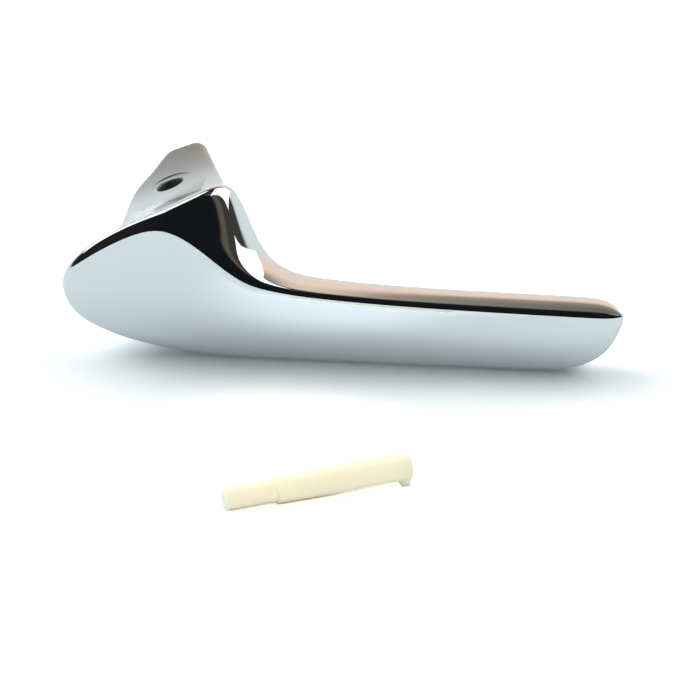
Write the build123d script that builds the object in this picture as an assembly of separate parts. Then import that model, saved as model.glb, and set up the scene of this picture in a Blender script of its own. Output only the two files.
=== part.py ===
from build123d import *

import os
from math import atan, cos, degrees, radians, sin, tan

os.makedirs("parts", exist_ok=True)

# Interior door handle of a car: a one-piece chrome lever, and the plastic pin that it turns on,
# drawn out and lying on the surface in front of it. Sizes are in mm. The origin is the middle of
# the lever's pivot bore. The arm runs along +X, its front face looks towards -Y, and +Z is up from
# the surface that both pieces lie on.

# Lever, along its length
NOSE_REACH = 27.45       # pivot to the rounded end of the head
TIP_REACH = 98.25        # pivot to the tip of the arm
ROLL_START = -9.5        # where the upper edge of the face leaves the ridge
ROLL_HALF = 15.7         # from there to half of its fall to the arm
LEAN_START = -7.5        # where the ridge begins to move back from the face
LEAN_END = 11.85         # where it lies farthest back
NECK_START = 7.95        # where the upper side begins to fall to the arm
NECK_HALF = 6.9          # from there to half of the fall
NECK_LEAD = 1.0          # how much sooner the ridge falls than the edge behind it
RIDGE_PEAK = 14.0        # where the arch of the ridge would be level
NOSE_ROUNDING = 11.0     # length over which the nose closes
TIP_ROUNDING = 17.0      # length over which the lower corner of the tip is rounded away
TIP_THINNING = 6.5       # length over which the thickness of the tip closes
END_GAP = 0.02           # last section before an end, where the outline is upright

# Lever, across
ARM_HEIGHT = 16.8
ARM_TAPER = 1.0          # height lost from the neck to the tip
ARM_THICKNESS = 8.0
ARM_EDGE = 1.4           # height of the rounded front upper edge of the arm
ARM_EDGE_DEPTH = 4.5     # depth of the same edge
TIP_DROP = 1.4           # tip of the arm below its upper side
TIP_EDGE = 1.5           # height of the upright edge that the tip ends in
FINGER_HOLLOW = 1.0      # depth of the hollow along the back of the arm
HEAD_THICKNESS = 12.5
RIDGE_HEIGHT = 40.2      # ridge above the floor, where its arch would be level
RIDGE_DEPTH = 1.8        # upper side behind the ridge, at the neck
RIDGE_FACET = 3.6        # width of the facet along the front of the ridge
FACET_SHARE = 0.6        # most that the facet takes, in parts of the ridge's depth
RIDGE_SLOPE = 30.0       # degrees that the facet slopes down to the front
REAR_SLOPE = 26.0        # degrees that the upper side slopes down behind the ridge
NOSE_EDGE = 2.4          # height and depth of the rounded upper edge at the nose
NOSE_HEIGHT = 14.8       # height of the foremost point of the nose
NOSE_MIDDLE = 0.4        # where the nose closes, in parts of the head's thickness
FACE_CROWN = 0.2         # swell of the front face between its edges
EDGE_RADIUS = 1.4        # rounding of the rear upper edge
SHOULDER_RADIUS = 3.5    # rounding where the face rolls back towards the ridge
BOTTOM_RADIUS = 1.0      # rounding of the lower edges
CORNER_REACH = 1.76      # control points this many radii beside a corner give it that radius

# Fullness of the rounded outlines: 2 is an ellipse, more is squarer
BELLY_FULLNESS = 2.2     # underside of the head
RIDGE_FULLNESS = 1.2
TIP_FULLNESS = 2.4

# Lug behind the head, and the pivot bore through it
PIVOT_DEPTH = 24.4       # pivot behind the front face
PIVOT_LEAN = 22.0        # degrees that the pivot leans towards the nose
BORE_LENGTH = 30.2
BORE_LIP = 0.6           # rounding of the mouths of the bore
SEAT_RADIUS = 5.2        # flat seat round the upper mouth
LUG_TAIL = 17.8          # pivot to the end of the lug
LUG_NOSE_SIDE = 10.2     # pivot to the lug's side towards the nose
LUG_ARM_SIDE = 11.65     # pivot to the lug's side towards the arm
LUG_NOSE_ROOT = 18.15    # how far each side of the lug runs into the head
LUG_ARM_ROOT = 14.1
LUG_FLANK = 17.0         # degrees that the side towards the arm closes towards the tail
LUG_SHOULDER = 4.0       # from the pivot back to where the other side begins to close
LUG_BACK_RADIUS = 14.2   # rounding of that other side
LUG_TIP_WIDTH = 9.0      # width of the tail between its two corners
LUG_TIP_RADIUS = 3.4
LUG_RISE = 2.9           # rise of the upper side towards the tail
LUG_FALL = 10.0          # degrees that the underside falls towards the tail
LUG_EDGE_RADIUS = 1.5

# Pivot pin
PIN_LENGTH = 40.5
PIN_RADIUS = 3.0
PIN_CLEARANCE = 0.05     # radial play of the pin in the bore
PIN_NECK_LENGTH = 11.0   # slimmer end, which goes in first
PIN_NECK_RADIUS = 2.45
PIN_CHAMFER = 0.4
PIN_FLAT_START = 22.5    # from the slim end to the relief flat on the underside
PIN_FLAT_DEPTH = 0.9
PIN_NIB_LENGTH = 1.9     # snap nib at the other end
PIN_NIB_WIDTH = 3.0
PIN_NIB_REACH = 0.9      # how far the nib stands out of the pin
PIN_YAW = 23.7           # degrees that the pin lies askew to the arm
PIN_AHEAD = 72.0         # slim end of the pin in front of the face
PIN_ALONG = 19.35        # slim end of the pin beyond the pivot

lean = radians(PIVOT_LEAN)
bore_radius = PIN_RADIUS + PIN_CLEARANCE
bore_half = BORE_LENGTH / 2

# Lug: its plan across the pivot and its side along the pivot, with all of its rims rounded
across_pivot = Plane((0, 0, 0), x_dir=(cos(lean), 0, sin(lean)), z_dir=(-sin(lean), 0, cos(lean)))
along_pivot = Plane((0, 0, 0), x_dir=(0, 1, 0), z_dir=across_pivot.x_dir)
pivot_axis = across_pivot.z_dir
flank = tan(radians(LUG_FLANK))
under = tan(radians(LUG_FALL))

tip_side = LUG_ARM_SIDE - LUG_TAIL * flank
tip_radius = min(LUG_TIP_RADIUS, LUG_TIP_WIDTH / 2)
plan_line = FilletPolyline(
    (LUG_ARM_SIDE + LUG_ARM_ROOT * flank, -LUG_ARM_ROOT),
    (tip_side, LUG_TAIL),
    (tip_side - LUG_TIP_WIDTH, LUG_TAIL),
    (-LUG_NOSE_SIDE, LUG_SHOULDER),
    (-LUG_NOSE_SIDE, -LUG_NOSE_ROOT),
    radius=[tip_radius, tip_radius, LUG_BACK_RADIUS],
)
plan = make_face(plan_line + Line(plan_line @ 1, plan_line @ 0))

beyond = LUG_TAIL + LUG_EDGE_RADIUS
rise = TangentArc((0, bore_half), (beyond, bore_half + LUG_RISE), tangent=(1, 0))
side_line = Polyline(
    rise @ 1,
    (beyond, -bore_half - beyond * under),
    (-LUG_NOSE_ROOT, -bore_half + LUG_NOSE_ROOT * under),
    (-LUG_NOSE_ROOT, bore_half),
    rise @ 0,
)
side = make_face(rise + side_line)

lug = extrude(across_pivot * plan, BORE_LENGTH, both=True)
lug &= extrude(along_pivot * side, PIVOT_DEPTH, both=True)
rims = [
    edge
    for edge in lug.edges()
    if abs((edge % 0.5).dot(pivot_axis)) < 0.5 and (edge @ 0.5).Y > -LUG_ARM_ROOT
]
lug = fillet(rims, LUG_EDGE_RADIUS)

# The lever lies on the lowest point of the lug and on the lower edge of the arm.
pivot_height = -lug.bounding_box().min.Z


def share(x, start, end):
    """How far x has come from start to end, from 0 to 1."""
    return min(max((x - start) / (end - start), 0.0), 1.0)


def fall(x, start, half):
    """Sweep of the neck: 1 up to start, one half at start + half, dying away beyond."""
    return 1 / (1 + max((x - start) / half, 0.0) ** 3)


def eased(t):
    """Smooth step from 0 to 1, level at both ends."""
    return t * t * (3 - 2 * t)


def rounded(t, fullness=2.0):
    """Rounded outline: 1 at t = 0, upright and 0 at t = 1."""
    return (1 - t**fullness) ** 0.5


def ridge_top(x):
    """Height of the ridge, an arch from the foremost point of the nose."""
    rise = rounded(share(-x, -RIDGE_PEAK, NOSE_REACH), RIDGE_FULLNESS)
    return NOSE_HEIGHT + (RIDGE_HEIGHT - NOSE_HEIGHT) * rise


def beside(corner, other, radius):
    """Control point beside a corner, towards another one, that gives it about this rounding."""
    side = other - corner
    return corner + side * min(CORNER_REACH * radius / side.length, 1 / 3)


def section(x):
    """Control points of the lever's section at x, in y back from the face and z up from the floor."""
    rail = ARM_HEIGHT - ARM_TAPER * share(x, NECK_START, TIP_REACH)
    edge = rail - ARM_EDGE
    tip = rail - TIP_DROP
    head = fall(x, NECK_START, NECK_HALF)
    grip = fall(x, NECK_START, NECK_HALF * 2)
    close = rounded(share(-x, NOSE_REACH - NOSE_ROUNDING, NOSE_REACH))
    top = rail + (ridge_top(x) - rail) * fall(x, NECK_START - NECK_LEAD, NECK_HALF)
    rear_top = rail + (ridge_top(x) - rail) * head
    shoulder = edge + (ridge_top(x) - NOSE_EDGE * close - edge) * fall(x, ROLL_START, ROLL_HALF)
    belly = rounded(share(-x, -NECK_START - NECK_HALF, NOSE_REACH), BELLY_FULLNESS)
    bottom = NOSE_HEIGHT * (1 - belly)
    corner = rounded(share(x, TIP_REACH - TIP_ROUNDING, TIP_REACH), TIP_FULLNESS)
    bottom += (tip - TIP_EDGE - bottom) * (1 - corner)
    back = ARM_THICKNESS + (HEAD_THICKNESS - ARM_THICKNESS) * grip
    neck = eased(share(x, LEAN_START, LEAN_END))
    roll = neck * fall(x, LEAN_END, NECK_HALF)
    start = NOSE_EDGE + (ARM_EDGE_DEPTH - NOSE_EDGE) * neck
    ridge = start + (back - RIDGE_DEPTH - start) * roll
    flat = 1 - eased(share(x, NECK_START, NECK_START + NECK_HALF))
    hollow = FINGER_HOLLOW * (1 - grip)
    soft = ARM_EDGE + (SHOULDER_RADIUS - ARM_EDGE) * roll

    heel = Vector(back, bottom)
    toe = Vector(FACE_CROWN, bottom)
    brow = Vector(FACE_CROWN * (1 - roll), shoulder)
    crest = Vector(ridge, top)
    rear = Vector(back, rear_top - (back - ridge) * tan(radians(REAR_SLOPE)) * head * close)
    sloping = Vector(-cos(radians(RIDGE_SLOPE)), -sin(radians(RIDGE_SLOPE)))
    slope = (brow - crest).normalized() * (1 - flat) + sloping * flat
    facet = crest + slope * min(RIDGE_FACET, ridge * FACET_SHARE)
    points = [
        Vector(back - hollow, (bottom + top) / 2),
        beside(heel, rear, BOTTOM_RADIUS),
        heel,
        (heel + toe) / 2,
        toe,
        beside(toe, brow, BOTTOM_RADIUS),
        Vector(-FACE_CROWN / 2, (bottom + shoulder) / 2),
        beside(brow, toe, soft),
        brow,
        beside(brow, crest, soft),
        facet,
        crest,
        (crest + rear) / 2,
        rear,
        beside(rear, heel, EDGE_RADIUS),
    ]

    # The nose closes on its foremost point, the tip just below the upper side of the arm.
    slim = rounded(share(-x, NOSE_REACH - HEAD_THICKNESS / 2, NOSE_REACH))
    thin = rounded(share(x, TIP_REACH - TIP_THINNING, TIP_REACH))
    middle = HEAD_THICKNESS * NOSE_MIDDLE
    closed = []
    for point in points:
        y = middle + (point.X - middle) * slim
        y = TIP_DROP / 2 + (y - TIP_DROP / 2) * thin
        z = min(point.Y, tip) + max(point.Y - tip, 0) * thin
        closed.append((y, z))
    return closed


def ring(x):
    """Control points round the lever at x. The rings beyond its two ends repeat the end section."""
    inside = min(max(x, END_GAP - NOSE_REACH), TIP_REACH - END_GAP)
    return [Vector(x, y - PIVOT_DEPTH, z - pivot_height) for y, z in section(inside)]


def arc_points(p0, p1, p2, p3):
    """Bezier points of the stretch of a uniform cubic spline that four control points rule."""
    return [
        (p0 + p1 * 4 + p2) / 6,
        (p1 * 2 + p2) / 3,
        (p1 + p2 * 2) / 3,
        (p1 + p2 * 4 + p3) / 6,
    ]


def around(points, start):
    """Four neighbouring points of a closed ring."""
    return [points[(start + i) % len(points)] for i in range(4)]


def quilt(rings):
    """Closed body of smooth bicubic patches over rings of control points."""
    count = len(rings[0])
    faces = []
    for i in range(len(rings) - 3):
        for j in range(count):
            across = [arc_points(*around(points, j)) for points in rings[i:i + 4]]
            along = [arc_points(*column) for column in zip(*across)]
            faces.append(Face.make_bezier_surface(along))
    for three in (rings[:3], rings[-3:]):
        end = [(a + b * 4 + c) / 6 for a, b, c in zip(*three)]
        edges = [Edge.make_bezier(*arc_points(*around(end, j))) for j in range(count)]
        faces.append(Face(Wire(edges)))
    return Solid(Shell(faces))


# Blade: the sculpted head, neck and arm in one smooth skin. Its rings stand closest where the
# outline turns fastest.
nose_stations = [NOSE_ROUNDING * d - NOSE_REACH for d in (-0.018, 0.002, 0.032, 0.136, 0.38, 0.8)]
neck_stations = [NECK_START + NECK_HALF * d for d in (0, 0.42, 0.82, 1.2, 1.6, 2.2, 3.1)]
tip_stations = [TIP_REACH - TIP_ROUNDING * d for d in (0.82, 0.5, 0.25, 0.08, 0.006, -0.035)]
head_span = NECK_START - nose_stations[-1]
arm_span = TIP_REACH - TIP_ROUNDING - neck_stations[-1]
head_stations = [nose_stations[-1] + head_span * d for d in (0.27, 0.54, 0.79)]
arm_stations = [neck_stations[-1] + arm_span * d for d in (0.35, 0.75)]
stations = nose_stations + head_stations + neck_stations + arm_stations + tip_stations
blade = quilt([ring(x) for x in stations])

# Bore through the lug, with a flat seat round its upper mouth and both mouths rounded
seat = Cylinder(SEAT_RADIUS, LUG_RISE * 2, align=(Align.CENTER, Align.CENTER, Align.MIN))
lever = blade + lug
lever -= across_pivot * Pos(Z=bore_half) * seat
lever -= across_pivot * Cylinder(bore_radius, BORE_LENGTH * 2)


def off_bore(point):
    """Distance of a point from the wall of the bore."""
    return abs(point.cross(pivot_axis).length - bore_radius)


mouths = [
    edge
    for edge in lever.edges()
    if max(off_bore(edge @ t) for t in (0, 0.25, 0.5)) < PIN_CLEARANCE / 2
    and abs((edge % 0.5).dot(pivot_axis)) < 0.9
]
lever = fillet(mouths, BORE_LIP)

# Pin along x from its slim end, with a relief flat and a snap nib on its underside
shoulder_end = PIN_NECK_LENGTH + PIN_CHAMFER
nib_start = PIN_LENGTH - PIN_CHAMFER - PIN_NIB_LENGTH
nib_depth = PIN_RADIUS + PIN_NIB_REACH
pin_line = Polyline(
    (0, 0),
    (0, PIN_NECK_RADIUS - PIN_CHAMFER),
    (PIN_CHAMFER, PIN_NECK_RADIUS),
    (PIN_NECK_LENGTH, PIN_NECK_RADIUS),
    (shoulder_end, PIN_RADIUS),
    (PIN_LENGTH - PIN_CHAMFER, PIN_RADIUS),
    (PIN_LENGTH, PIN_RADIUS - PIN_CHAMFER),
    (PIN_LENGTH, 0),
    close=True,
)
relief_line = Polyline(
    (PIN_FLAT_START, -PIN_RADIUS),
    (PIN_FLAT_START + PIN_FLAT_DEPTH * 2, PIN_FLAT_DEPTH - PIN_RADIUS),
    (nib_start, PIN_FLAT_DEPTH - PIN_RADIUS),
    (nib_start, -PIN_RADIUS * 2),
    (PIN_FLAT_START, -PIN_RADIUS * 2),
    close=True,
)
nib = Box(PIN_NIB_LENGTH, PIN_NIB_WIDTH, nib_depth, align=(Align.MIN, Align.CENTER, Align.MIN))
pivot_pin = revolve(make_face(pin_line), Axis.X)
pivot_pin -= extrude(Plane.XZ * make_face(relief_line), PIN_RADIUS, both=True)
pivot_pin += Pos(nib_start, 0, -nib_depth) * nib

# The pin lies on its nib and on its shoulder or its slim end, whichever comes down first.
tilt = min(
    atan(PIN_NIB_REACH / (nib_start - shoulder_end)),
    atan((nib_depth - PIN_NECK_RADIUS) / (nib_start - PIN_CHAMFER)),
)
lift = nib_depth * cos(tilt) - nib_start * sin(tilt)
pin_end = Pos(PIN_ALONG, -PIVOT_DEPTH - PIN_AHEAD, lift - pivot_height)
pivot_pin = pin_end * Rot(Z=PIN_YAW) * Rot(Y=-degrees(tilt)) * pivot_pin

export_step(lever, "parts/lever.step")
export_step(pivot_pin, "parts/pivot_pin.step")
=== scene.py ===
# %% [markdown]
# # Chrome door handle and its pivot pin
# The object is the release handle from the inside of a car door: one chrome-plated lever, and the
# cream plastic pin that it turns on, drawn out and lying in front of it. Chrome has no colour of
# its own, so this lesson is mostly about two things: a surface smooth enough to be a mirror, and a
# studio worth mirroring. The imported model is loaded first. Its box gives the level of the table, and
# the two pieces that are made here take the place of its parts.

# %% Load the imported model
from math import atan, cos, pi, radians, sin, sqrt, tan

import bmesh
import bpy
from mathutils import Matrix, Vector


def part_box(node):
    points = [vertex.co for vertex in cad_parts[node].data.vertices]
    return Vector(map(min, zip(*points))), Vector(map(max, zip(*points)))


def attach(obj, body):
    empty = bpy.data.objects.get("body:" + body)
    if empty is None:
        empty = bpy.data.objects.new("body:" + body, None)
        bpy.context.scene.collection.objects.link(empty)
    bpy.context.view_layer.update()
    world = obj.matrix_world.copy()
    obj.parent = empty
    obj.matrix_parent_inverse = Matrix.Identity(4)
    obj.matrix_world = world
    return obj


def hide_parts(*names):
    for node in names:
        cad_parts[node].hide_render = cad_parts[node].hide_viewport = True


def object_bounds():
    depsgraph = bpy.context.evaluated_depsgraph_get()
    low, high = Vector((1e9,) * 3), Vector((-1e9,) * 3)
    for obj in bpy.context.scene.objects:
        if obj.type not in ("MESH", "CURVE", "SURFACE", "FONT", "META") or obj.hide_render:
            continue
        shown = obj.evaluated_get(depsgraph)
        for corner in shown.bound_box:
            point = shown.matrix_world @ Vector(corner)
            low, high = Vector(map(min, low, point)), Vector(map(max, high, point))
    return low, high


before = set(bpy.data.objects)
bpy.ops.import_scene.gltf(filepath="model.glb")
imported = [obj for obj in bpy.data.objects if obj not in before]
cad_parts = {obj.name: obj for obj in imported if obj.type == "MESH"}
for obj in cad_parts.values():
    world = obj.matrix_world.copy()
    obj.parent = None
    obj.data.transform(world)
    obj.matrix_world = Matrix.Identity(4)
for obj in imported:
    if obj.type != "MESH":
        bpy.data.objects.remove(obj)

MM = 0.001
cad_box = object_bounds()
FLOOR = cad_box[0].z
print("table lies", round(-FLOOR / MM, 3), "mm below the pivot")

# %% [markdown]
# ## Camera
# The photograph is a product shot with a long lens, from a little above and almost square to the
# front of the lever. A long lens keeps the far lug and the near pin at almost the same scale, so the
# camera stands well back. It is set first, because every later choice is judged through it.

# %% Camera
AZIMUTH = radians(6.0)
ELEVATION = radians(25.0)
CAMERA_DISTANCE = 0.75
LENS = 177.0
TARGET = Vector((0.03565, -0.02195, FLOOR + 0.0048))

towards_camera = Vector((sin(AZIMUTH) * cos(ELEVATION), -cos(AZIMUTH) * cos(ELEVATION), sin(ELEVATION)))
camera = bpy.data.objects.new("camera", bpy.data.cameras.new("camera"))
camera.data.lens = LENS
camera.location = TARGET + towards_camera * CAMERA_DISTANCE
camera.rotation_euler = (-towards_camera).to_track_quat("-Z", "Y").to_euler()
bpy.context.scene.collection.objects.link(camera)
bpy.context.scene.camera = camera
bpy.context.scene.view_settings.view_transform = "Standard"
print("camera stands", round(camera.location.z - FLOOR, 3), "m above the table")

# %% [markdown]
# ## Helpers for pieces
# A piece is drawn in millimetres in a bmesh, moved to its place, scaled to metres and only then made
# an object, so that the object itself stays at the origin. Two solids are united or cut with a
# Boolean, and the result is kept as the piece's own mesh.

# %% Helpers for pieces
def new_piece(name, bm, place=Matrix.Identity(4)):
    """A bmesh in millimetres, moved to its place, as an object in metres."""
    bmesh.ops.transform(bm, matrix=Matrix.Scale(MM, 4) @ place, verts=bm.verts)
    bmesh.ops.recalc_face_normals(bm, faces=bm.faces)
    mesh = bpy.data.meshes.new(name)
    bm.to_mesh(mesh)
    bm.free()
    piece = bpy.data.objects.new(name, mesh)
    bpy.context.scene.collection.objects.link(piece)
    return piece


def keep_modifiers(piece):
    """Turns what a piece's modifiers show into its own mesh."""
    depsgraph = bpy.context.evaluated_depsgraph_get()
    mesh = bpy.data.meshes.new_from_object(piece.evaluated_get(depsgraph))
    piece.modifiers.clear()
    piece.data = mesh


def combine(piece, other, operation):
    """Unites a piece with another or cuts it by another, which is used up."""
    boolean = piece.modifiers.new(operation.title(), "BOOLEAN")
    boolean.operation = operation
    boolean.solver = "EXACT"
    boolean.object = other
    keep_modifiers(piece)
    bpy.data.objects.remove(other)


def smooth(piece, crease):
    """Shades a piece smooth, apart from edges sharper than crease."""
    piece.data.shade_smooth()
    piece.data.set_sharp_from_angle(angle=crease)


# %% [markdown]
# ## Lever: its sizes
# All sizes are those of the lever's solid, in millimetres, because the dressed lever takes its place.
# Places along the lever are counted from the pivot towards the tip, depths back from the front face,
# and heights up from the table.

# %% Sizes of the lever
NOSE_REACH = 27.45       # pivot to the rounded end of the head
TIP_REACH = 98.25        # pivot to the tip of the arm
ROLL_START = -9.5        # where the upper edge of the face leaves the ridge
ROLL_HALF = 15.7         # from there to half of its fall to the arm
LEAN_START = -7.5        # where the ridge begins to move back from the face
LEAN_END = 11.85         # where it lies farthest back
NECK_START = 7.95        # where the crest begins to fall to the arm
NECK_HALF = 6.9          # from there to half of the fall
NECK_LEAD = 1.0          # how much sooner the ridge falls than the edge behind it
RIDGE_PEAK = 14.0        # where the arch of the ridge would be level
NOSE_ROUNDING = 11.0     # length over which the nose closes
TIP_ROUNDING = 17.0      # length over which the lower corner of the tip is rounded away
TIP_THINNING = 6.5       # length over which the thickness of the tip closes
ARM_HEIGHT = 16.8
ARM_TAPER = 1.0          # height lost from the neck to the tip
ARM_THICKNESS = 8.0
ARM_EDGE = 1.4           # height of the rounded front upper edge of the arm
ARM_EDGE_DEPTH = 4.5     # depth of the same edge
TIP_DROP = 1.4           # tip of the arm below its upper side
TIP_EDGE = 1.5           # height of the upright edge that the tip ends in
FINGER_HOLLOW = 1.0      # depth of the hollow along the back of the arm
HEAD_THICKNESS = 12.5
RIDGE_HEIGHT = 40.2      # ridge above the table, where its arch would be level
RIDGE_DEPTH = 1.8        # upper side behind the ridge, at the neck
RIDGE_FACET = 3.6        # width of the facet along the front of the ridge
FACET_SHARE = 0.6        # most that the facet takes, in parts of the ridge's depth
RIDGE_SLOPE = radians(30.0)  # fall of that facet towards the front
NOSE_EDGE = 2.4          # height and depth of the rounded upper edge at the nose
REAR_SLOPE = radians(26.0)  # fall of the upper side behind the ridge
NOSE_HEIGHT = 14.8       # height of the foremost point of the nose
FACE_CROWN = 0.2         # swell of the front face between its edges
EDGE_RADIUS = 1.4        # rounding of the upper edge behind the ridge
SHOULDER_RADIUS = 3.5    # rounding where the face rolls back towards the ridge
BOTTOM_RADIUS = 1.0      # rounding of the lower edges
CORNER_REACH = 1.76      # points this many radii beside a corner give it that radius
NOSE_MIDDLE = 0.4        # where the nose closes, in parts of the head's thickness
BELLY_FULLNESS = 2.2     # 2 is an ellipse, more is squarer
RIDGE_FULLNESS = 1.2
TIP_FULLNESS = 2.4
END_GAP = 0.02           # last section before an end, where the outline is upright
PIVOT_DEPTH = 24.4       # pivot behind the front face
PIVOT_LEAN = radians(22.0)  # lean of the pivot's upper end towards the nose
BORE_LENGTH = 30.2

bore_half = BORE_LENGTH / 2
pivot_height = -FLOOR / MM
print("sections run from", -NOSE_REACH, "to", TIP_REACH, "mm along the lever")

# %% [markdown]
# ## Lever: curves along it
# Head, neck and arm are one flowing skin. A modeller could push it about by hand, but a few rules
# describe it better, and each is a formula in x: how far a place has come along a stretch, how the
# neck falls to the arm in one sweep, and how an end closes like a rounded outline.

# %% Curves along the lever
def share(x, start, end):
    """How far x has come from start to end, from 0 to 1."""
    return min(max((x - start) / (end - start), 0.0), 1.0)


def fall(x, start, half):
    """Sweep of the neck: 1 up to start, one half at start + half, dying away beyond."""
    return 1 / (1 + max((x - start) / half, 0.0) ** 3)


def eased(t):
    """Smooth step from 0 to 1, level at both ends."""
    return t * t * (3 - 2 * t)


def rounded(t, fullness=2.0):
    """Rounded outline: 1 at t = 0, upright and 0 at t = 1."""
    return sqrt(1 - t**fullness)


def ridge_top(x):
    """Height of the ridge, an arch from the foremost point of the nose."""
    rise = rounded(share(-x, -RIDGE_PEAK, NOSE_REACH), RIDGE_FULLNESS)
    return NOSE_HEIGHT + (RIDGE_HEIGHT - NOSE_HEIGHT) * rise


print("ridge stands", round(ridge_top(0), 1), "mm above the table where it passes the pivot")

# %% [markdown]
# ## Lever: one section
# The rules place fifteen control points round every section. The crest falls to the arm in one
# sweep, the upper edge of the face falls more slowly, and what lies between them turns from a
# bevelled shoulder into the narrow rail of the arm. At both ends the section is pressed flat.

# %% One section of the lever
def beside(corner, other, radius):
    """Control point beside a corner, towards another one, that gives it about this rounding."""
    side = other - corner
    return corner + side * min(CORNER_REACH * radius / side.length, 1 / 3)


def section(x):
    """Control points of the lever's section at x, in y back from the face and z up from the table."""
    rail = ARM_HEIGHT - ARM_TAPER * share(x, NECK_START, TIP_REACH)
    edge = rail - ARM_EDGE
    tip = rail - TIP_DROP
    head = fall(x, NECK_START, NECK_HALF)
    grip = fall(x, NECK_START, NECK_HALF * 2)
    close = rounded(share(-x, NOSE_REACH - NOSE_ROUNDING, NOSE_REACH))
    top = rail + (ridge_top(x) - rail) * fall(x, NECK_START - NECK_LEAD, NECK_HALF)
    rear_top = rail + (ridge_top(x) - rail) * head
    shoulder = edge + (ridge_top(x) - NOSE_EDGE * close - edge) * fall(x, ROLL_START, ROLL_HALF)
    belly = rounded(share(-x, -NECK_START - NECK_HALF, NOSE_REACH), BELLY_FULLNESS)
    bottom = NOSE_HEIGHT * (1 - belly)
    corner = rounded(share(x, TIP_REACH - TIP_ROUNDING, TIP_REACH), TIP_FULLNESS)
    bottom += (tip - TIP_EDGE - bottom) * (1 - corner)
    back = ARM_THICKNESS + (HEAD_THICKNESS - ARM_THICKNESS) * grip
    neck = eased(share(x, LEAN_START, LEAN_END))
    roll = neck * fall(x, LEAN_END, NECK_HALF)
    start = NOSE_EDGE + (ARM_EDGE_DEPTH - NOSE_EDGE) * neck
    ridge = start + (back - RIDGE_DEPTH - start) * roll
    flat = 1 - eased(share(x, NECK_START, NECK_START + NECK_HALF))
    hollow = FINGER_HOLLOW * (1 - grip)
    soft = ARM_EDGE + (SHOULDER_RADIUS - ARM_EDGE) * roll

    heel = Vector((back, bottom))
    toe = Vector((FACE_CROWN, bottom))
    brow = Vector((FACE_CROWN * (1 - roll), shoulder))
    crest = Vector((ridge, top))
    rear = Vector((back, rear_top - (back - ridge) * tan(REAR_SLOPE) * head * close))
    down = brow - crest
    slope = down.normalized().lerp(Vector((-cos(RIDGE_SLOPE), -sin(RIDGE_SLOPE))), flat)
    facet = crest + slope * min(RIDGE_FACET, ridge * FACET_SHARE)
    points = [
        Vector((back - hollow, (bottom + top) / 2)),
        beside(heel, rear, BOTTOM_RADIUS),
        heel,
        (heel + toe) / 2,
        toe,
        beside(toe, brow, BOTTOM_RADIUS),
        Vector((-FACE_CROWN / 2, (bottom + shoulder) / 2)),
        beside(brow, toe, soft),
        brow,
        beside(brow, crest, soft),
        facet,
        crest,
        (crest + rear) / 2,
        rear,
        beside(rear, heel, EDGE_RADIUS),
    ]

    slim = rounded(share(-x, NOSE_REACH - HEAD_THICKNESS / 2, NOSE_REACH))
    thin = rounded(share(x, TIP_REACH - TIP_THINNING, TIP_REACH))
    middle = HEAD_THICKNESS * NOSE_MIDDLE
    closed = []
    for y, z in points:
        y = middle + (y - middle) * slim
        y = TIP_DROP / 2 + (y - TIP_DROP / 2) * thin
        z = min(z, tip) + max(z - tip, 0) * thin
        closed.append((y, z))
    return closed


print("a section has", len(section(0)), "control points")

# %% [markdown]
# ## Lever: a net of rings under a subdivision surface
# A mirror shows every flat facet, so the skin is a coarse net that a Subdivision Surface rounds. A
# circle of fifteen points is laid into the first section and then extruded from section to section.
# The rings stand closest where the outline turns fastest. The surface under such a net is the same
# smooth one that the lever's solid has, apart from its two ends, where a face closes the last ring.

# %% Net of the blade
NOSE_RINGS = (-0.018, 0.002, 0.032, 0.136, 0.38, 0.8)  # in parts of the nose's rounding, from its end
HEAD_RINGS = (0.27, 0.54, 0.79)                        # in parts of the way from there to the neck
NECK_RINGS = (0, 0.42, 0.82, 1.2, 1.6, 2.2, 3.1)       # in parts of half of the neck's fall
ARM_RINGS = (0.35, 0.75)                               # in parts of the way from there to the tip
TIP_RINGS = (0.82, 0.5, 0.25, 0.08, 0.006, -0.035)     # in parts of the tip's rounding, to its end
SKIN_LEVEL = 3


def ring(x):
    """Control points round the lever at x. Rings beyond its two ends repeat the end section."""
    inside = min(max(x, END_GAP - NOSE_REACH), TIP_REACH - END_GAP)
    return [(x, y - PIVOT_DEPTH, z - pivot_height) for y, z in section(inside)]


def net(rings):
    """Rows of quads through rings of points, extruded one from the other, with both ends closed."""
    bm = bmesh.new()
    loop = bmesh.ops.create_circle(bm, segments=len(rings[0]))["verts"]
    for i, points in enumerate(rings):
        if i:
            edges = [e for e in bm.edges if e.verts[0] in loop and e.verts[1] in loop]
            made = bmesh.ops.extrude_edge_only(bm, edges=edges)["geom"]
            fresh = {part for part in made if isinstance(part, bmesh.types.BMVert)}
            loop = [next(e.other_vert(v) for e in v.link_edges if e.other_vert(v) in fresh) for v in loop]
        for vert, point in zip(loop, points):
            vert.co = point
    bmesh.ops.holes_fill(bm, edges=bm.edges, sides=len(loop))
    return bm


nose_stations = [NOSE_ROUNDING * d - NOSE_REACH for d in NOSE_RINGS]
neck_stations = [NECK_START + NECK_HALF * d for d in NECK_RINGS]
tip_stations = [TIP_REACH - TIP_ROUNDING * d for d in TIP_RINGS]
head_span = NECK_START - nose_stations[-1]
arm_span = TIP_REACH - TIP_ROUNDING - neck_stations[-1]
head_stations = [nose_stations[-1] + head_span * d for d in HEAD_RINGS]
arm_stations = [neck_stations[-1] + arm_span * d for d in ARM_RINGS]
stations = nose_stations + head_stations + neck_stations + arm_stations + tip_stations
lever = new_piece("chrome_lever", net([ring(x) for x in stations]))
skin = lever.modifiers.new("Skin", "SUBSURF")
skin.levels = skin.render_levels = SKIN_LEVEL
keep_modifiers(lever)
print("blade has", len(stations), "rings and", len(lever.data.polygons), "faces")

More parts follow.
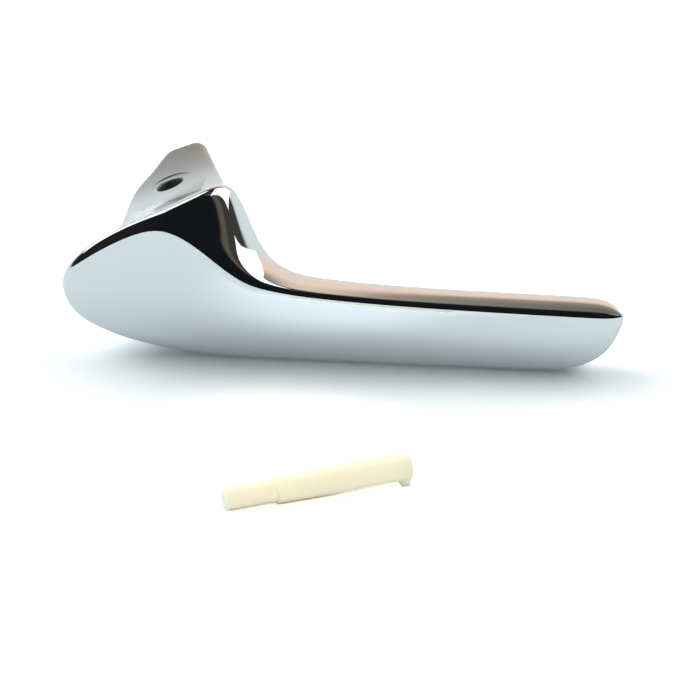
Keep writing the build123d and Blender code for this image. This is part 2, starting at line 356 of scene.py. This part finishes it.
# %% [markdown]
# ## Lever: the lug
# Behind the head stands a lug that holds the pivot. It is a tapered block whose upper side dips
# round the bore and rises to the tail. It could be lofted, but a block keeps its sides plain: it is
# extruded from its plan, its upright corners are bevelled round, planes cut it into slices so that
# its upper side can bend, and its rims are bevelled last. It leans as the pivot does.

# %% Sizes of the lug
LUG_TAIL = 17.8          # pivot to the end of the lug
LUG_NOSE_SIDE = 10.2     # pivot to the lug's side towards the nose
LUG_ARM_SIDE = 11.65     # pivot to the lug's side towards the arm
LUG_FLANK = radians(17.0)  # slant of the side towards the arm
LUG_SHOULDER = 4.0       # from the pivot back to where the other side begins to close
LUG_BACK_RADIUS = 14.2   # rounding of that other side
LUG_NOSE_ROOT = 18.15    # how far each side of the lug runs into the head
LUG_ARM_ROOT = 14.1
LUG_TIP_WIDTH = 9.0
LUG_TIP_RADIUS = 3.4
LUG_RISE = 2.9           # rise of the upper side towards the tail
LUG_FALL = radians(10.0)  # slope of the underside towards the tail
LUG_EDGE_RADIUS = 1.5
LUG_SLICES = 12          # rows of faces along the upper side
CORNER_STEPS = 6         # flat steps round an upright corner
RIM_STEPS = 5            # flat steps round a rim
RIM_TURN = radians(45)   # edges that turn by more than this are rims
CLOSE = 1e-4             # points nearer than this are one

print("lug reaches", LUG_TAIL, "mm behind the pivot")

# %% Lug
lug_place = Matrix.Rotation(-PIVOT_LEAN, 4, "Y")
dish_radius = ((LUG_TAIL + LUG_EDGE_RADIUS) ** 2 + LUG_RISE**2) / (2 * LUG_RISE)


def dish(q):
    """Rise of the lug's upper side at q behind the pivot."""
    return dish_radius - sqrt(dish_radius**2 - max(q, 0.0) ** 2)


def bevel(bm, edges, offset, steps):
    """Rounds edges off in so many flat steps."""
    bmesh.ops.bevel(
        bm, geom=edges, offset=offset, offset_type="OFFSET",
        affect="EDGES", segments=steps, profile=0.5, material=-1,
    )


def lug_block():
    """Block of the lug about an upright pivot, with its dished upper side and its rounded edges."""
    tip_side = LUG_ARM_SIDE - LUG_TAIL * tan(LUG_FLANK)
    plan = [
        (LUG_ARM_SIDE + LUG_ARM_ROOT * tan(LUG_FLANK), -LUG_ARM_ROOT),
        (tip_side, LUG_TAIL),
        (tip_side - LUG_TIP_WIDTH, LUG_TAIL),
        (-LUG_NOSE_SIDE, LUG_SHOULDER),
        (-LUG_NOSE_SIDE, -LUG_NOSE_ROOT),
    ]
    bm = bmesh.new()
    base = bm.faces.new([bm.verts.new((s, q, -bore_half)) for s, q in plan])
    made = bmesh.ops.extrude_face_region(bm, geom=[base])["geom"]
    raised = [part for part in made if isinstance(part, bmesh.types.BMVert)]
    bmesh.ops.translate(bm, verts=raised, vec=(0, 0, BORE_LENGTH))

    def upright(s, q):
        """The upright edge at a corner of the plan."""
        return [e for e in bm.edges if all(abs(v.co.x - s) + abs(v.co.y - q) < CLOSE for v in e.verts)]

    for corner, radius in ((1, LUG_TIP_RADIUS), (2, LUG_TIP_RADIUS), (3, LUG_BACK_RADIUS)):
        here = Vector(plan[corner])
        turn = (here - Vector(plan[corner - 1])).angle(Vector(plan[corner + 1]) - here)
        bevel(bm, upright(*here), radius * tan(turn / 2), CORNER_STEPS)
    for i in range(1, LUG_SLICES):
        everything = bm.verts[:] + bm.edges[:] + bm.faces[:]
        cut = (0, LUG_TAIL * i / LUG_SLICES, 0)
        bmesh.ops.bisect_plane(bm, geom=everything, plane_co=cut, plane_no=(0, 1, 0))
    for v in bm.verts:
        v.co.z = bore_half + dish(v.co.y) if v.co.z > 0 else -bore_half - v.co.y * tan(LUG_FALL)
    bm.normal_update()
    rims = [
        e for e in bm.edges
        if e.calc_face_angle(0) > RIM_TURN
        and e.verts[0].co.z * e.verts[1].co.z > 0
        and max(v.co.y for v in e.verts) > CLOSE - LUG_ARM_ROOT
    ]
    bevel(bm, rims, LUG_EDGE_RADIUS, RIM_STEPS)
    return bm


combine(lever, new_piece("lug", lug_block(), lug_place), "UNION")
print("lever with its lug has", len(lever.data.polygons), "faces")

# %% [markdown]
# ## Lever: the bore
# The pivot runs right through the lug. Three cutters one after the other would do, but a single
# shape that is spun like a turned part cuts the bore, the rounded lips of its two mouths and the
# flat seat round the upper one at once. Its lower end slopes as the lug's underside does.

# %% Bore
BORE_RADIUS = 3.05
BORE_LIP = 0.6           # rounding of the two mouths
LIP_STEPS = 4            # flat steps round a lip
SEAT_RADIUS = 5.2        # flat seat round the upper mouth
SPIN_STEPS = 96
LEVER_CREASE = radians(35)


def spun(points, axis):
    """Open outline of points, spun once round an axis through the origin."""
    bm = bmesh.new()
    verts = [bm.verts.new(point) for point in points]
    edges = [bm.edges.new(pair) for pair in zip(verts, verts[1:])]
    bmesh.ops.spin(
        bm, geom=verts + edges, cent=(0, 0, 0), axis=axis,
        angle=2 * pi, steps=SPIN_STEPS, use_merge=True,
    )
    bmesh.ops.remove_doubles(bm, verts=bm.verts, dist=CLOSE)
    return bm


def bore_cutter():
    """Spun shape of the bore, with its two lips and the seat round its upper mouth."""
    beyond = LUG_RISE * 2
    lip = [i * pi / 2 / LIP_STEPS for i in range(LIP_STEPS + 1)]
    outline = [(0, -bore_half - beyond), (BORE_RADIUS + BORE_LIP, -bore_half - beyond)]
    outline += [(BORE_RADIUS + BORE_LIP * (1 - sin(a)), -bore_half + BORE_LIP * (1 - cos(a))) for a in lip]
    outline += [(BORE_RADIUS + BORE_LIP * (1 - cos(a)), bore_half - BORE_LIP * (1 - sin(a))) for a in lip]
    outline += [(SEAT_RADIUS, bore_half), (SEAT_RADIUS, bore_half + beyond), (0, bore_half + beyond)]
    bm = spun([(r, 0, h) for r, h in outline], (0, 0, 1))
    for v in bm.verts:
        if v.co.z < 0:
            v.co.z -= v.co.y * tan(LUG_FALL)
    return bm


combine(lever, new_piece("bore", bore_cutter(), lug_place), "DIFFERENCE")
smooth(lever, LEVER_CREASE)
print("lever with its bore has", len(lever.data.polygons), "faces")

# %% [markdown]
# ## Pivot pin: its sizes and how it lies
# The pin is a stepped rod with a slim end, a relief flat along its underside and a snap nib at the
# far end. It lies a little askew, as it was put down, and it touches the table with its nib and
# with its shoulder or its slim end. Which of the two it is follows from the sizes, and so do the
# tilt and the height of its axis.

# %% Sizes of the pivot pin
PIN_LENGTH = 40.5
PIN_RADIUS = 3.0
PIN_NECK_LENGTH = 11.0   # slim end, up to the shoulder
PIN_NECK_RADIUS = 2.45
PIN_CHAMFER = 0.4
PIN_FLAT_START = 22.5    # slim end to the beginning of the relief flat
PIN_FLAT_DEPTH = 0.9
PIN_NIB_LENGTH = 1.9
PIN_NIB_WIDTH = 3.0
PIN_NIB_REACH = 0.9      # how far the nib stands out from the pin
PIN_YAW = radians(23.7)  # turn of the pin out of the lever's direction
PIN_AHEAD = 72.0         # slim end in front of the lever's face
PIN_ALONG = 19.35        # slim end along the lever from the pivot

shoulder_end = PIN_NECK_LENGTH + PIN_CHAMFER
nib_start = PIN_LENGTH - PIN_CHAMFER - PIN_NIB_LENGTH
nib_depth = PIN_RADIUS + PIN_NIB_REACH
tilt = min(
    atan(PIN_NIB_REACH / (nib_start - shoulder_end)),
    atan((nib_depth - PIN_NECK_RADIUS) / (nib_start - PIN_CHAMFER)),
)
lift = nib_depth * cos(tilt) - nib_start * sin(tilt)
pin_place = (
    Matrix.Translation((PIN_ALONG, -PIVOT_DEPTH - PIN_AHEAD, lift - pivot_height))
    @ Matrix.Rotation(PIN_YAW, 4, "Z")
    @ Matrix.Rotation(-tilt, 4, "Y")
)
print("the axis of the pin starts", round(lift, 2), "mm above the table")

# %% [markdown]
# ## Pivot pin: turning and cutting it
# The real pin is moulded, but it is drawn as a lathe would turn it: half of its outline is spun
# about its axis. A block with a sloping start takes the relief flat off, and the nib is a small
# block that is united with the far end.

# %% Pivot pin
PIN_CREASE = radians(30)


def pin_shank():
    """Turned shape of the pin along its own axis, from its slim end."""
    outline = [
        (0, 0), (0, PIN_NECK_RADIUS - PIN_CHAMFER), (PIN_CHAMFER, PIN_NECK_RADIUS),
        (PIN_NECK_LENGTH, PIN_NECK_RADIUS), (shoulder_end, PIN_RADIUS),
        (PIN_LENGTH - PIN_CHAMFER, PIN_RADIUS), (PIN_LENGTH, PIN_RADIUS - PIN_CHAMFER), (PIN_LENGTH, 0),
    ]
    return spun([(x, r, 0) for x, r in outline], (1, 0, 0))


def block(low, high):
    """Box between two corners."""
    bm = bmesh.new()
    bmesh.ops.create_cube(bm, size=1)
    size = Vector(high) - Vector(low)
    bmesh.ops.scale(bm, vec=size, verts=bm.verts)
    bmesh.ops.translate(bm, vec=(Vector(low) + Vector(high)) / 2, verts=bm.verts)
    return bm


def relief_block():
    """Block that takes the flat off the pin, with a sloping start."""
    clear = PIN_RADIUS * 2
    bm = block((PIN_FLAT_START, -clear, -clear), (nib_start, clear, PIN_FLAT_DEPTH - PIN_RADIUS))
    for v in bm.verts:
        if v.co.x < nib_start - CLOSE and v.co.z > -PIN_RADIUS:
            v.co.x += PIN_FLAT_DEPTH * 2
    return bm


def nib_block():
    """Block of the snap nib, from the pin's axis down."""
    half = PIN_NIB_WIDTH / 2
    return block((nib_start, -half, -nib_depth), (PIN_LENGTH - PIN_CHAMFER, half, 0))


pin = new_piece("cream_pivot_pin", pin_shank(), pin_place)
combine(pin, new_piece("relief", relief_block(), pin_place), "DIFFERENCE")
combine(pin, new_piece("nib", nib_block(), pin_place), "UNION")
smooth(pin, PIN_CREASE)
print("pin has", len(pin.data.polygons), "faces")

# %% [markdown]
# ## Helpers for finishes
# A finish is a tree of shader nodes. A few kinds of node come back again and again: a noise for what
# is never quite even, a step between two places, a blend of two colours and a bit of arithmetic. Each
# gets a helper that makes the node, sets or links its inputs and hands back its output.

# %% Helpers for finishes
def empty_tree(owner, kind):
    """Node tree of a material or a world with only an output of this kind, and that output's socket."""
    owner.use_nodes = True
    tree = owner.node_tree
    tree.nodes.clear()
    return tree, tree.nodes.new(kind).inputs["Surface"]


def new_finish(name):
    """Material with one Principled shader, its node tree, the shader, and the place on the piece."""
    material = bpy.data.materials.new(name)
    tree, output = empty_tree(material, "ShaderNodeOutputMaterial")
    surface = tree.nodes.new("ShaderNodeBsdfPrincipled")
    tree.links.new(surface.outputs["BSDF"], output)
    return material, tree, surface, tree.nodes.new("ShaderNodeTexCoord").outputs["Object"]


# %% Helpers for shader nodes
def new_noise(tree, place, scale, detail):
    """Uneven value from 0 to 1 over a place."""
    noise = tree.nodes.new("ShaderNodeTexNoise")
    noise.inputs["Scale"].default_value = scale
    noise.inputs["Detail"].default_value = detail
    tree.links.new(place, noise.inputs["Vector"])
    return noise.outputs["Fac"]


def new_step(tree, value, start, end, low, high):
    """Value that goes smoothly from low to high while another goes from start to end."""
    step = tree.nodes.new("ShaderNodeMapRange")
    step.interpolation_type = "SMOOTHSTEP"
    step.inputs["From Min"].default_value = start
    step.inputs["From Max"].default_value = end
    step.inputs["To Min"].default_value = low
    step.inputs["To Max"].default_value = high
    tree.links.new(value, step.inputs["Value"])
    return step.outputs["Result"]


def new_blend(tree, factor, first, second):
    """Colour that goes from a first to a second one, each of them given or read from an output."""
    mix = tree.nodes.new("ShaderNodeMix")
    mix.data_type = "RGBA"
    tree.links.new(factor, mix.inputs["Factor"])
    for name, colour in (("A", first), ("B", second)):
        if isinstance(colour, tuple):
            mix.inputs[name].default_value = (*colour, 1)
        else:
            tree.links.new(colour, mix.inputs[name])
    return mix.outputs["Result"]


def new_value(tree, operation, *values):
    """Result of a piece of arithmetic on values that are given or read from an output."""
    node = tree.nodes.new("ShaderNodeMath")
    node.operation = operation
    for socket, value in zip(node.inputs, values):
        if isinstance(value, float):
            socket.default_value = value
        else:
            tree.links.new(value, socket)
    return node.outputs["Value"]


# %% [markdown]
# ## Chrome plating
# Chrome plating is a clean metal mirror with a faint blue-green cast, and handling leaves smudges on
# it. It is polished on the blade, but the lug is left as it was plated, so it is satin there and gets
# duller towards the tail. Plating hardly reaches into a bore, so the wall of the bore is bare plastic,
# and its dark grey colour is partly that plastic and partly painted shade for the dark inside of the hole.
# Three materials would show a seam, so one holds all three finishes: it tells the lug by its place
# behind the blade, and the bore by the distance from the pivot, which runs through the origin.

# %% Chrome plating
POLISHED = (0.62, 0.70, 0.72)
SATIN = (0.31, 0.34, 0.34)
# Bare plastic of the bore, made darker still as painted shade for the inside of the hole.
BARE_AND_SHADE = (0.12, 0.13, 0.12)
POLISH_ROUGHNESS = (0.02, 0.06)  # between clean places and smudges
SATIN_ROUGHNESS = 0.28           # what the lug has on top of that
SMUDGE_SCALE = 70
SMUDGE_DETAIL = 4
BLADE_BACK = -0.0125     # place in y, in metres, where the polish of the blade ends
LUG_FRONT = -0.0095      # where the lug has all of its roughness
LUG_DULL = 0.0100        # where it has all of its dull colour
# Within the first distance the bore's wall is bare and carries the painted shade; by the second the
# plating is whole.
BARE_SHADED_WALL = 0.0032       # distance from the pivot, in metres, where the bare wall of the bore ends
PLATED_UNSHADED_LIP = 0.0034      # where the plating is whole


def chrome_plating():
    """Mirror on the blade, satin on the lug, and bare plastic darkened by painted shade in the bore."""
    material, tree, surface, place = new_finish("chrome_plating")
    split = tree.nodes.new("ShaderNodeSeparateXYZ")
    tree.links.new(place, split.inputs["Vector"])
    back = split.outputs["Y"]

    smudges = new_noise(tree, place, SMUDGE_SCALE, SMUDGE_DETAIL)
    polish = new_step(tree, smudges, 0.0, 1.0, *POLISH_ROUGHNESS)
    satin = new_step(tree, back, BLADE_BACK, LUG_FRONT, 0.0, 1.0)
    roughness = new_value(tree, "MULTIPLY_ADD", satin, SATIN_ROUGHNESS, polish)
    tree.links.new(roughness, surface.inputs["Roughness"])

    off_pivot = tree.nodes.new("ShaderNodeVectorMath")
    off_pivot.operation = "CROSS_PRODUCT"
    off_pivot.inputs[1].default_value = (-sin(PIVOT_LEAN), 0, cos(PIVOT_LEAN))
    tree.links.new(place, off_pivot.inputs[0])
    distance = tree.nodes.new("ShaderNodeVectorMath")
    distance.operation = "LENGTH"
    tree.links.new(off_pivot.outputs["Vector"], distance.inputs[0])
    # The step that takes the metal off the bore's wall also puts the painted shade on it, through the dark
    # colour below.
    plated_unshaded = new_step(tree, distance.outputs["Value"], BARE_SHADED_WALL, PLATED_UNSHADED_LIP, 0.0, 1.0)
    tree.links.new(plated_unshaded, surface.inputs["Metallic"])

    dull = new_step(tree, back, BLADE_BACK, LUG_DULL, 0.0, 1.0)
    colour = new_blend(tree, plated_unshaded, BARE_AND_SHADE, new_blend(tree, dull, POLISHED, SATIN))
    tree.links.new(colour, surface.inputs["Base Color"])
    return material


# %% [markdown]
# ## Cream plastic
# The pin is unfilled plastic: cream, slightly cloudy and translucent, with a soft sheen and the fine
# grain of its mould. Light that enters it comes out a little further on, which a plain colour can't
# show, so it scatters under the surface.

# %% Cream plastic
CREAM_DEEP = (0.94, 0.84, 0.64)
CREAM_LIGHT = (0.97, 0.88, 0.70)
CLOUD_SCALE = 140
CLOUD_DETAIL = 3
CREAM_ROUGHNESS = 0.5
CREAM_SPECULAR = 0.12
SCATTER_DEPTH = 0.003            # metres that light goes under the surface
SCATTER_SHARES = (1.0, 0.9, 0.7)  # parts of it for red, green and blue
GRAIN_SCALE = 2500
GRAIN_DETAIL = 2
GRAIN_STRENGTH = 0.15
GRAIN_HEIGHT = 0.0001


def cream_plastic():
    """Translucent cream plastic with faint clouds and a moulded grain."""
    material, tree, surface, place = new_finish("cream_plastic")
    cloud = new_noise(tree, place, CLOUD_SCALE, CLOUD_DETAIL)
    tree.links.new(new_blend(tree, cloud, CREAM_DEEP, CREAM_LIGHT), surface.inputs["Base Color"])
    surface.inputs["Roughness"].default_value = CREAM_ROUGHNESS
    surface.inputs["Specular IOR Level"].default_value = CREAM_SPECULAR
    surface.inputs["Subsurface Weight"].default_value = 1.0
    surface.inputs["Subsurface Radius"].default_value = SCATTER_SHARES
    surface.inputs["Subsurface Scale"].default_value = SCATTER_DEPTH

    bump = tree.nodes.new("ShaderNodeBump")
    bump.inputs["Strength"].default_value = GRAIN_STRENGTH
    bump.inputs["Distance"].default_value = GRAIN_HEIGHT
    tree.links.new(new_noise(tree, place, GRAIN_SCALE, GRAIN_DETAIL), bump.inputs["Height"])
    tree.links.new(bump.outputs["Normal"], surface.inputs["Normal"])
    return material


# %% [markdown]
# ## Finished pieces
# Each piece gets its finish, rides on the one body of this part, and takes the place of its solid.
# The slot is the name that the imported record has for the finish.

# %% Finished pieces
for piece, node, slot, material in (
    (lever, "lever", "chrome_plating", chrome_plating()),
    (pin, "pivot_pin", "cream_plastic", cream_plastic()),
):
    piece.data.materials.clear()
    piece.data.materials.append(material)
    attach(piece, "root")
    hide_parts(node)
    print(piece.name, "takes the place of", node, "with", len(material.node_tree.nodes), "shader nodes")

# %% [markdown]
# ## Floor
# The table is plain white paper, and the photograph is exposed so that it clips to pure white, with
# only the deep part of the shadow left. More light would bleach the object as well. So the paper is
# brighter for the camera alone, a little brighter with a faint glow in reflections, and keeps a real
# paper's shade for the light that it throws back.

# %% Floor
FLOOR_SIZE = 4.0
PAPER = (0.88, 0.88, 0.88)
PAPER_SEEN = (1.36, 1.37, 1.37)
PAPER_MIRRORED = (0.98, 0.98, 0.98)
MIRRORED_GLOW = 0.14


def white_paper():
    """Matt paper with one shade for its light, one for the camera and one for reflections."""
    material = bpy.data.materials.new("white_paper")
    tree, output = empty_tree(material, "ShaderNodeOutputMaterial")
    ray = tree.nodes.new("ShaderNodeLightPath")
    mirrored, seen = ray.outputs["Is Glossy Ray"], ray.outputs["Is Camera Ray"]
    shade = new_blend(tree, seen, new_blend(tree, mirrored, PAPER, PAPER_MIRRORED), PAPER_SEEN)
    paper = tree.nodes.new("ShaderNodeBsdfDiffuse")
    tree.links.new(shade, paper.inputs["Color"])
    glow = tree.nodes.new("ShaderNodeEmission")
    tree.links.new(new_value(tree, "MULTIPLY", mirrored, MIRRORED_GLOW), glow.inputs["Strength"])
    both = tree.nodes.new("ShaderNodeAddShader")
    tree.links.new(paper.outputs["BSDF"], both.inputs[0])
    tree.links.new(glow.outputs["Emission"], both.inputs[1])
    tree.links.new(both.outputs["Shader"], output)
    return material


bm = bmesh.new()
bmesh.ops.create_grid(bm, x_segments=1, y_segments=1, size=FLOOR_SIZE / 2 / MM)
floor = new_piece("floor", bm, Matrix.Translation((0, 0, FLOOR / MM)))
floor.data.materials.append(white_paper())
print("floor is", FLOOR_SIZE, "m wide")

# %% [markdown]
# ## Studio: softboxes
# Chrome shows the room, so a product photographer builds that room from lamps and cards. A softbox
# stands high on either side, a little behind the lever. The white patches on the neck are their
# images. They are there for reflections alone, because their light would fill the shadow.

# %% Softboxes
SOFTBOX_SIDE = 0.62      # towards each softbox, as parts of a unit direction
SOFTBOX_BEHIND = 0.2
SOFTBOX_DISTANCE = 0.7
SOFTBOX_SIZE = (0.50, 0.76)
SOFTBOX_POWER = 2.4
SOFTBOX_AIM = Vector((0.03, -0.03, 0))

softbox_up = sqrt(1 - SOFTBOX_SIDE**2 - SOFTBOX_BEHIND**2)
for side, name in ((-1, "softbox_left"), (1, "softbox_right")):
    softbox = bpy.data.objects.new(name, bpy.data.lights.new(name, "AREA"))
    softbox.data.shape = "RECTANGLE"
    softbox.data.size, softbox.data.size_y = SOFTBOX_SIZE
    softbox.data.energy = SOFTBOX_POWER
    softbox.visible_diffuse = False
    towards = Vector((side * SOFTBOX_SIDE, SOFTBOX_BEHIND, softbox_up))
    softbox.location = SOFTBOX_AIM + towards * SOFTBOX_DISTANCE
    softbox.rotation_euler = towards.to_track_quat("Z", "Y").to_euler()
    bpy.context.scene.collection.objects.link(softbox)
    print(name, "stands", round(softbox.location.z - FLOOR, 2), "m above the table")

# %% [markdown]
# ## Studio: a spot for the pin
# The light for matt surfaces comes from the sides and from behind, so the front of the pin would be
# dull. A small spot on the camera's side lights it. Its cone is narrow and its lamp is small, so
# that it leaves the lever and the lever's shadow alone, and chrome doesn't see it.

# %% Spot for the pin
SPOT_TOWARDS = Vector((0.3, -0.70, 0.66)).normalized()
SPOT_DISTANCE = 0.6
SPOT_POWER = 7.8
SPOT_CONE = radians(6)
SPOT_BLEND = 0.5         # share of the cone over which its light fades
SPOT_RADIUS = 0.01

pin_middle = (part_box("pivot_pin")[0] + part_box("pivot_pin")[1]) / 2
spot = bpy.data.objects.new("pin_spot", bpy.data.lights.new("pin_spot", "SPOT"))
spot.data.energy = SPOT_POWER
spot.data.spot_size = SPOT_CONE
spot.data.spot_blend = SPOT_BLEND
spot.data.shadow_soft_size = SPOT_RADIUS
spot.visible_glossy = False
spot.location = pin_middle + SPOT_TOWARDS * SPOT_DISTANCE
spot.rotation_euler = SPOT_TOWARDS.to_track_quat("Z", "Y").to_euler()
bpy.context.scene.collection.objects.link(spot)
print("spot lights a patch", round(2 * SPOT_DISTANCE * tan(SPOT_CONE / 2) / MM), "mm wide")

# %% [markdown]
# ## Studio: cards
# The cards are bands of colour in the world, by the direction that a reflection looks in: white
# behind the table, a warm wall above it, a greyer one to the left of that, dark sides, and black
# cloth over the camera. Mesh cards would do as well, but bands are easier to move by a degree.

# %% Colours of the cards
CARD_BEHIND = (          # colours behind the table, by the degrees above its level
    (0, (1.0, 1.0, 1.0)),
    (20, (1.0, 0.98, 0.96)),
    (26, (1.2, 0.90, 0.76)),
    (40, (1.25, 0.88, 0.73)),
    (46, (0.90, 0.63, 0.51)),
    (50, (0.50, 0.37, 0.29)),
    (56, (0.34, 0.27, 0.22)),
    (61, (0.15, 0.13, 0.12)),
    (66, (0.02, 0.02, 0.022)),
    (90, (0.01, 0.011, 0.012)),
)
CARD_LEFT = (            # the same to the left of it
    (0, (1.0, 1.0, 1.0)),
    (18, (0.95, 0.97, 0.97)),
    (30, (0.26, 0.28, 0.27)),
    (60, (0.16, 0.18, 0.17)),
    (68, (0.02, 0.02, 0.022)),
    (90, (0.01, 0.011, 0.012)),
)
CARD_AROUND = (          # colours round the table, by the degrees from the camera round by the left
    (0, (0.010, 0.011, 0.012)),
    (60, (0.025, 0.020, 0.016)),
    (110, (0.025, 0.020, 0.016)),
    (120, (0.9, 0.9, 0.9)),
    (240, (0.9, 0.9, 0.9)),
    (250, (0.065, 0.055, 0.047)),
    (292, (0.065, 0.055, 0.047)),
    (298, (0.16, 0.12, 0.09)),
    (306, (0.16, 0.12, 0.09)),
    (312, (0.010, 0.012, 0.015)),
    (360, (0.010, 0.011, 0.012)),
)
BEHIND_EDGE = (60, 69.5)  # degrees from straight behind over which the cards behind end
LEFT_EDGE = (-36, -26)    # degrees from straight behind over which the left one gives way

print("cards have", len(CARD_BEHIND) + len(CARD_LEFT) + len(CARD_AROUND), "stops of colour")

# %% Cards
world = bpy.data.worlds.new("studio")
world.cycles.sampling_method = "NONE"
bpy.context.scene.world = world
tree, world_output = empty_tree(world, "ShaderNodeOutputWorld")


def by_angle(stops, full, angle):
    """Colours by an angle in degrees, read from a node's output in radians."""
    turn = tree.nodes.new("ShaderNodeMapRange")
    turn.inputs["From Max"].default_value = radians(full)
    tree.links.new(angle, turn.inputs["Value"])
    colours = tree.nodes.new("ShaderNodeValToRGB")
    elements = colours.color_ramp.elements
    elements.remove(elements[0])
    for i, (degrees, colour) in enumerate(stops):
        stop = elements[0] if i == 0 else elements.new(degrees / full)
        stop.position = degrees / full
        stop.color = (*colour, 1) if isinstance(colour, tuple) else (colour, colour, colour, 1)
    tree.links.new(turn.outputs["Result"], colours.inputs["Fac"])
    return colours.outputs["Color"]


def over(edge, angle, low, high):
    """Value that goes from low to high over an edge between two angles in degrees."""
    return new_step(tree, angle, radians(edge[0]), radians(edge[1]), low, high)


direction = tree.nodes.new("ShaderNodeTexCoord")
split = tree.nodes.new("ShaderNodeSeparateXYZ")
tree.links.new(direction.outputs["Generated"], split.inputs["Vector"])
height = new_value(tree, "ARCSINE", split.outputs["Z"])
off_back = new_value(tree, "ARCTAN2", split.outputs["X"], split.outputs["Y"])
from_camera = new_value(tree, "ADD", off_back, pi)
at_left = over(LEFT_EDGE, off_back, 1.0, 0.0)
at_back = over(BEHIND_EDGE, new_value(tree, "ABSOLUTE", off_back), 1.0, 0.0)
behind = new_blend(tree, at_left, by_angle(CARD_BEHIND, 90, height), by_angle(CARD_LEFT, 90, height))
cards = new_blend(tree, at_back, by_angle(CARD_AROUND, 360, from_camera), behind)
print("world has", len(tree.nodes), "shader nodes with its cards")

# %% [markdown]
# ## Studio: fill
# Matt surfaces don't see the cards but a fill. It comes mainly from the left and, weaker, from behind
# and from the right, low above the table, because the shadow in the photograph lies in front of the
# lever and is darkest right under its face. The camera sees neither: for it the world is white.

# %% Fill
FILL_AROUND = (          # brightness of the fill, by the degrees from the camera round by the left
    (0, 0.0),
    (62, 0.0),
    (84, 0.4),
    (96, 1.0),
    (118, 1.0),
    (150, 0.35),
    (200, 0.30),
    (230, 0.40),
    (262, 0.40),
    (280, 0.0),
    (360, 0.0),
)
FILL_LOW = (8, 20)       # degrees above the table between which the fill sets in
FILL_HIGH = (35, 70)     # and between which it dies away
FILL_BRIGHT = (5.4, 5.5, 5.6)
FILL_DIM = (0.05, 0.07, 0.07)
BACKDROP = (1.0, 1.0, 1.0)

band = new_value(tree, "MULTIPLY", over(FILL_LOW, height, 0.0, 1.0), over(FILL_HIGH, height, 1.0, 0.0))
bright = new_value(tree, "MULTIPLY", band, by_angle(FILL_AROUND, 360, from_camera))
fill = new_blend(tree, bright, FILL_DIM, FILL_BRIGHT)
ray = tree.nodes.new("ShaderNodeLightPath")
room = new_blend(tree, ray.outputs["Is Glossy Ray"], fill, cards)
sky = tree.nodes.new("ShaderNodeBackground")
tree.links.new(new_blend(tree, ray.outputs["Is Camera Ray"], room, BACKDROP), sky.inputs["Color"])
tree.links.new(sky.outputs["Background"], world_output)
print("world has", len(tree.nodes), "shader nodes with its cards and its fill")
